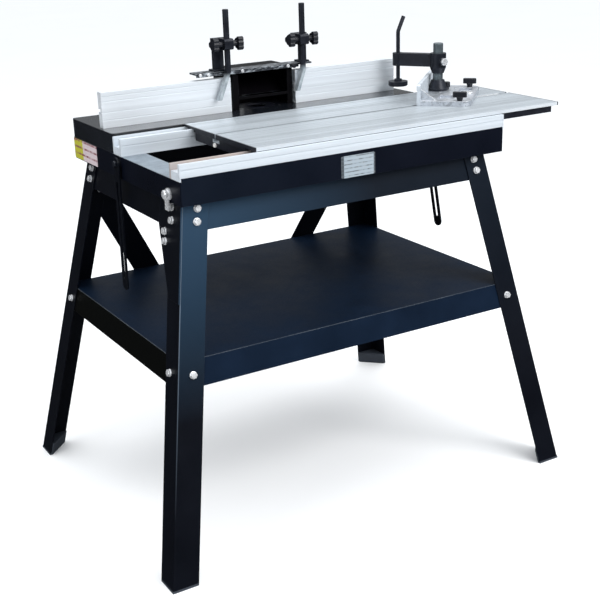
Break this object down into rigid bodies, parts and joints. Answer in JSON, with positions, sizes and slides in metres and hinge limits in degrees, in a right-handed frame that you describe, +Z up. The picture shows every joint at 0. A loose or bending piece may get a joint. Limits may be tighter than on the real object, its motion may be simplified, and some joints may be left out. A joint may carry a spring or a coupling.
{
  "type": "router table",
  "caption": "Router table on a splayed sheet-steel stand with a shelf, a sliding table on rails, a split fence with dust hood and hold-downs, and a mitre gauge with work clamp.",
  "frame": {"origin": "on the floor, under the middle of the whole outline", "axes": "+X along the table (right as the worker stands), +Y from the worker's side to the back, +Z up"},
  "size_m": [1.164, 0.832, 1.146],
  "materials": {
    "black_steel": "semi-gloss black powder coat",
    "black_table": "gloss black paint",
    "black_hood": "satin black paint",
    "dark_steel": "blackened steel",
    "zinc": "bright zinc plate",
    "aluminium": "clear anodised, matt",
    "cast_alloy": "cast and brushed",
    "foot_plastic": "moulded, matt",
    "glide_plastic": "low-friction strip",
    "black_plastic": "moulded, satin",
    "plate_blank": "blank printed foil"
  },
  "bodies": {
    "stand": {"front_left_leg": "black_steel", "front_right_leg": "black_steel", "rear_left_leg": "black_steel", "rear_right_leg": "black_steel", "leg_feet": "foot_plastic", "long_stand_rails": "black_steel", "short_stand_rails": "black_steel", "shelf": "black_steel", "rear_braces": "black_steel", "stand_fasteners": "zinc", "corner_gusset": "black_steel", "hinge_stand_leaves": "dark_steel"},
    "table_top": {"table_frame": "black_steel", "hinge_table_leaves": "dark_steel", "tongue_stud": "zinc", "fixed_table": "black_table", "insert_ring": "aluminium", "front_rail": "aluminium", "rear_rail": "aluminium", "rail_end_caps": "aluminium", "glide_strips": "glide_plastic", "front_plate": "plate_blank", "side_plate": "plate_blank", "stay_bolts": "zinc"},
    "left_stay": {"left_stay": "black_steel"},
    "right_stay": {"right_stay": "black_steel"},
    "tongue": {"tongue": "zinc"},
    "sliding_table": {"sliding_planks": "aluminium", "slide_end_caps": "aluminium", "slide_bars": "dark_steel", "carriage": "black_steel", "travel_bumpers": "glide_plastic"},
    "mitre_slider": {"mitre_bar": "zinc"},
    "mitre_gauge": {"mitre_head": "cast_alloy", "mitre_fence_plate": "aluminium", "clamp_flange": "dark_steel"},
    "front_mitre_knob": {"front_mitre_knob": "black_plastic"},
    "rear_mitre_knob": {"rear_mitre_knob": "black_plastic"},
    "clamp_post": {"clamp_post": "dark_steel"},
    "clamp_arm": {"clamp_arm": "dark_steel", "clamp_arm_bolt": "zinc"},
    "clamp_pad": {"clamp_pad": "dark_steel"},
    "clamp_screw": {"clamp_screw": "dark_steel"},
    "fence": {"fence_base": "aluminium", "board_bolts": "zinc", "cutter_hood": "black_hood", "dust_port": "black_plastic", "hold_down_rail": "aluminium", "hood_screws": "zinc", "hold_down_uprights": "dark_steel"},
    "left_fence_board": {"left_fence_board": "aluminium"},
    "right_fence_board": {"right_fence_board": "aluminium"},
    "gauge_lock_knob": {"gauge_lock_knob": "black_plastic"},
    "hood_knob": {"hood_knob": "black_plastic"},
    "left_hold_down": {"left_hold_down": "dark_steel"},
    "right_hold_down": {"right_hold_down": "dark_steel"},
    "left_outer_knob": {"left_hold_down_outer_knob": "black_plastic"},
    "left_inner_knob": {"left_hold_down_inner_knob": "black_plastic"},
    "right_outer_knob": {"right_hold_down_outer_knob": "black_plastic"},
    "right_inner_knob": {"right_hold_down_inner_knob": "black_plastic"}
  },
  "joints": [
    {"name": "top_tilt", "type": "hinge", "parent": "stand", "child": "table_top", "pos_m": [-0.035, 0.2735, 0.799], "axis": [-1, 0, 0], "range_deg": [0, 45]},
    {"name": "left_stay_swing", "type": "hinge", "parent": "table_top", "child": "left_stay", "pos_m": [-0.455, 0.021, 0.838], "axis": [1, 0, 0], "range_deg": [-20, 30]},
    {"name": "right_stay_swing", "type": "hinge", "parent": "table_top", "child": "right_stay", "pos_m": [0.409, 0.021, 0.838], "axis": [1, 0, 0], "range_deg": [-10, 40]},
    {"name": "tongue_swing", "type": "hinge", "parent": "table_top", "child": "tongue", "pos_m": [-0.4537, -0.239, 0.82], "axis": [1, 0, 0], "range_deg": [-80, 80]},
    {"name": "table_slide", "type": "slide", "parent": "table_top", "child": "sliding_table", "axis": [1, 0, 0], "range_m": [-0.38, 0.1]},
    {"name": "mitre_slide", "type": "slide", "parent": "sliding_table", "child": "mitre_slider", "axis": [1, 0, 0], "range_m": [-0.5, 0.02]},
    {"name": "mitre_turn", "type": "hinge", "parent": "mitre_slider", "child": "mitre_gauge", "pos_m": [0.451, -0.104, 0.905], "axis": [0, 0, 1], "range_deg": [0, 45]},
    {"name": "front_mitre_knob_turn", "type": "hinge", "parent": "mitre_gauge", "child": "front_mitre_knob", "pos_m": [0.36544, -0.17683, 0.93], "axis": [0, 0, 1], "continuous": true},
    {"name": "rear_mitre_knob_turn", "type": "hinge", "parent": "mitre_gauge", "child": "rear_mitre_knob", "pos_m": [0.51747, -0.02905, 0.93], "axis": [0, 0, 1], "continuous": true},
    {"name": "clamp_swivel", "type": "hinge", "parent": "mitre_gauge", "child": "clamp_post", "pos_m": [0.42378, -0.01526, 0.97], "axis": [0, 0, 1], "range_deg": [0, 40]},
    {"name": "clamp_height", "type": "slide", "parent": "clamp_post", "child": "clamp_arm", "axis": [0, 0, 1], "range_m": [-0.014, 0.018]},
    {"name": "pad_travel", "type": "slide", "parent": "clamp_arm", "child": "clamp_pad", "axis": [0, 0, 1], "range_m": [-0.0045, 0.018]},
    {"name": "screw_turn", "type": "hinge", "parent": "clamp_pad", "child": "clamp_screw", "pos_m": [0.36261, 0.07348, 1], "axis": [0, 0, 1], "range_deg": [-545, 2165]},
    {"name": "fence_depth", "type": "slide", "parent": "table_top", "child": "fence", "axis": [0, 1, 0], "range_m": [-0.01, 0.06]},
    {"name": "left_board_slide", "type": "slide", "parent": "fence", "child": "left_fence_board", "axis": [1, 0, 0], "range_m": [-0.06, 0.009]},
    {"name": "right_board_slide", "type": "slide", "parent": "fence", "child": "right_fence_board", "axis": [1, 0, 0], "range_m": [-0.004, 0.06]},
    {"name": "gauge_lock_knob_turn", "type": "hinge", "parent": "mitre_gauge", "child": "gauge_lock_knob", "pos_m": [0.45058, -0.01943, 0.92], "axis": [0, 0, 1], "continuous": true},
    {"name": "hood_knob_turn", "type": "hinge", "parent": "fence", "child": "hood_knob", "pos_m": [0.071, 0.112, 0.9955], "axis": [0, -1, 0], "continuous": true},
    {"name": "left_hold_down_height", "type": "slide", "parent": "fence", "child": "left_hold_down", "axis": [0, 0, 1], "range_m": [-0.03, 0.035]},
    {"name": "right_hold_down_height", "type": "slide", "parent": "fence", "child": "right_hold_down", "axis": [0, 0, 1], "range_m": [-0.028, 0.035]},
    {"name": "left_outer_knob_turn", "type": "hinge", "parent": "fence", "child": "left_outer_knob", "pos_m": [-0.148, 0.106, 1.065], "axis": [1, 0, 0], "continuous": true},
    {"name": "left_inner_knob_turn", "type": "hinge", "parent": "fence", "child": "left_inner_knob", "pos_m": [-0.085, 0.106, 1.065], "axis": [1, 0, 0], "continuous": true},
    {"name": "right_outer_knob_turn", "type": "hinge", "parent": "fence", "child": "right_outer_knob", "pos_m": [0.125, 0.106, 1.059], "axis": [1, 0, 0], "continuous": true},
    {"name": "right_inner_knob_turn", "type": "hinge", "parent": "fence", "child": "right_inner_knob", "pos_m": [0.062, 0.106, 1.059], "axis": [1, 0, 0], "continuous": true}
  ],
  "couplings": [
    {"joint": "screw_turn", "follows": "pad_travel", "rad_per_m": 2094.4}
  ]
}
